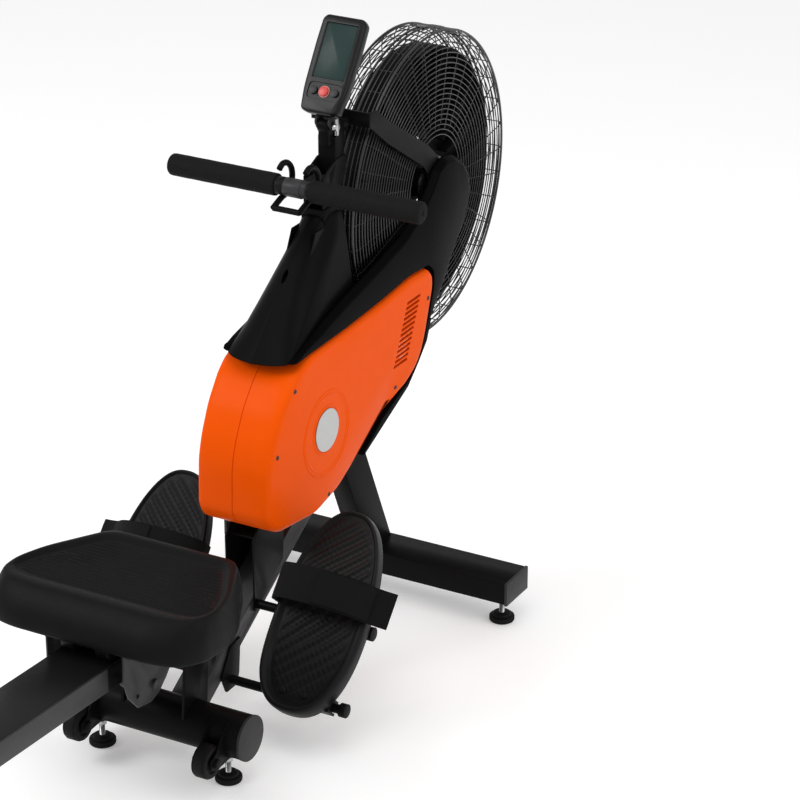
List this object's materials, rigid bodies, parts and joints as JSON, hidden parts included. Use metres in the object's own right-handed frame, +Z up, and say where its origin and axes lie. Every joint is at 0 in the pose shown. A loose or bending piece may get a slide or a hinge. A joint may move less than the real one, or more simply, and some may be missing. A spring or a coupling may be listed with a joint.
{
  "type": "rowing machine",
  "caption": "Air rowing machine with a fan under a wire guard, orange and black drive housing, folding seat rail, sliding seat, foot plates, pull handle on webbing and tilting console.",
  "frame": {"origin": "on the floor, at the middle of the machine's footprint", "axes": "+Z up, +Y the way the rower faces, towards the fan, +X the rower's right"},
  "size_m": [0.586, 2.2436, 1.1078],
  "materials": {
    "frame_steel": "semi-gloss black powder coat",
    "grey_steel": "satin grey powder coat",
    "zinc": "bright zinc plate",
    "orange_shell": "glossy moulded orange",
    "black_shell": "glossy moulded black",
    "silver_disc": "satin silver",
    "guard_wire": "coated steel wire",
    "fan_plastic": "matte moulded black",
    "rubber_black": "matte rubber",
    "pedal_plastic": "grained black",
    "webbing": "woven black webbing",
    "seat_foam": "moulded integral-skin foam",
    "grip_foam": "closed-cell foam",
    "console_plastic": "black moulded case",
    "lcd": "reflective LCD window",
    "red_button": "red rubber-feel cap",
    "roller_plastic": "nylon"
  },
  "bodies": {
    "frame": {"main_beam": "frame_steel", "mid_stabilizer": "frame_steel", "front_stabilizer": "frame_steel", "end_caps": "pedal_plastic", "front_post": "frame_steel", "frame_plates": "frame_steel", "mast_channel": "frame_steel", "mast_head": "frame_steel", "housing_left": "orange_shell", "housing_right": "orange_shell", "upper_cover_left": "black_shell", "upper_cover_right": "black_shell", "side_discs": "silver_disc", "housing_screws": "zinc", "guard_rings_left": "guard_wire", "guard_rings_right": "guard_wire", "guard_spokes_left": "guard_wire", "guard_spokes_right": "guard_wire", "fan_yoke": "frame_steel", "handle_holder": "rubber_black", "joint_pins": "zinc", "hinge_lugs": "frame_steel", "strap_run": "webbing", "wheel_brackets": "frame_steel", "pedal_left": "pedal_plastic", "pedal_right": "pedal_plastic", "foot_strap_left": "webbing", "foot_strap_right": "webbing", "pedal_axles": "frame_steel", "housing_bracket": "frame_steel", "frame_feet": "rubber_black", "drive_belt": "rubber_black", "recoil_spring": "zinc"},
    "wheel_left": {"wheel_left": "rubber_black"},
    "wheel_right": {"wheel_right": "rubber_black"},
    "rail_frame": {"rail": "grey_steel", "rail_track": "pedal_plastic", "rail_fittings": "rubber_black", "rear_stand": "frame_steel"},
    "lock": {"lock_pin": "roller_plastic"},
    "seat": {"seat_cushion": "seat_foam", "seat_carriage": "grey_steel"},
    "roller_front": {"roller_front": "roller_plastic"},
    "roller_rear": {"roller_rear": "roller_plastic"},
    "roller_lower": {"roller_lower": "roller_plastic"},
    "handle": {"handle_bar": "grey_steel", "grips": "grip_foam", "pull_strap": "webbing"},
    "guide_roller": {"guide_roller": "roller_plastic"},
    "spool": {"strap_spool": "roller_plastic", "drive_shaft": "zinc"},
    "pulley": {"drive_pulley": "roller_plastic"},
    "fan": {"fan_wheel": "fan_plastic", "fan_pulley": "zinc", "fan_axle": "zinc"},
    "console": {"console_case": "console_plastic", "console_screen": "lcd"},
    "button_left": {"button_left": "console_plastic"},
    "button_center": {"button_center": "red_button"},
    "button_right": {"button_right": "console_plastic"}
  },
  "joints": [
    {"name": "rail_fold", "type": "hinge", "parent": "frame", "child": "rail_frame", "pos_m": [0, 0.02, 0.215], "axis": [-1, 0, 0], "range_deg": [0, 85]},
    {"name": "lock_pull", "type": "slide", "parent": "frame", "child": "lock", "axis": [1, 0, 0], "range_m": [-0.009, 0]},
    {"name": "seat_slide", "type": "slide", "parent": "rail_frame", "child": "seat", "axis": [0, 0.9984, -0.0558], "range_m": [-0.86, 0.03]},
    {"name": "roller_front_roll", "type": "hinge", "parent": "seat", "child": "roller_front", "pos_m": [0, -0.059, 0.30762], "axis": [1, 0, 0], "range_deg": [-120, 3100]},
    {"name": "roller_rear_roll", "type": "hinge", "parent": "seat", "child": "roller_rear", "pos_m": [0, -0.19878, 0.31544], "axis": [1, 0, 0], "range_deg": [-120, 3100]},
    {"name": "roller_lower_roll", "type": "hinge", "parent": "seat", "child": "roller_lower", "pos_m": [0, -0.13333, 0.23206], "axis": [1, 0, 0], "range_deg": [-2620, 100]},
    {"name": "wheel_left_spin", "type": "hinge", "parent": "frame", "child": "wheel_left", "pos_m": [-0.124, -0.066, 0.07], "axis": [1, 0, 0], "continuous": true},
    {"name": "wheel_right_spin", "type": "hinge", "parent": "frame", "child": "wheel_right", "pos_m": [0.124, -0.066, 0.07], "axis": [1, 0, 0], "continuous": true},
    {"name": "handle_pull", "type": "slide", "parent": "frame", "child": "handle", "axis": [0, -1, 0], "range_m": [0, 0.9], "stiffness_N_per_m": 8, "springref_m": -1.5, "deforming": ["pull_strap"]},
    {"name": "guide_roller_roll", "type": "hinge", "parent": "frame", "child": "guide_roller", "pos_m": [0, 0.524, 0.84], "axis": [1, 0, 0], "range_deg": [-10, 3280]},
    {"name": "spool_turn", "type": "hinge", "parent": "frame", "child": "spool", "pos_m": [0, 0.41, 0.451], "axis": [1, 0, 0], "range_deg": [-10, 1440]},
    {"name": "fan_spin", "type": "hinge", "parent": "frame", "child": "fan", "pos_m": [0, 0.843, 0.741], "axis": [1, 0, 0], "continuous": true},
    {"name": "pulley_spin", "type": "hinge", "parent": "frame", "child": "pulley", "pos_m": [0.061, 0.41, 0.451], "axis": [1, 0, 0], "continuous": true},
    {"name": "console_tilt", "type": "hinge", "parent": "frame", "child": "console", "pos_m": [0, 0.545, 0.938], "axis": [1, 0, 0], "range_deg": [-12, 15]},
    {"name": "button_left_press", "type": "slide", "parent": "console", "child": "button_left", "axis": [0, 0.829, -0.5592], "range_m": [0, 0.001], "stiffness_N_per_m": 600},
    {"name": "button_center_press", "type": "slide", "parent": "console", "child": "button_center", "axis": [0, 0.829, -0.5592], "range_m": [0, 0.001], "stiffness_N_per_m": 600},
    {"name": "button_right_press", "type": "slide", "parent": "console", "child": "button_right", "axis": [0, 0.829, -0.5592], "range_m": [0, 0.001], "stiffness_N_per_m": 600}
  ],
  "couplings": [
    {"joint": "roller_front_roll", "follows": "seat_slide", "rad_per_m": -62.5},
    {"joint": "roller_rear_roll", "follows": "seat_slide", "rad_per_m": -62.5},
    {"joint": "roller_lower_roll", "follows": "seat_slide", "rad_per_m": 52.632},
    {"joint": "guide_roller_roll", "follows": "handle_pull", "rad_per_m": 63.3},
    {"joint": "spool_turn", "follows": "handle_pull", "rad_per_m": 27.7},
    {"joint": "pulley_spin", "follows": "fan_spin", "ratio": 0.25}
  ]
}
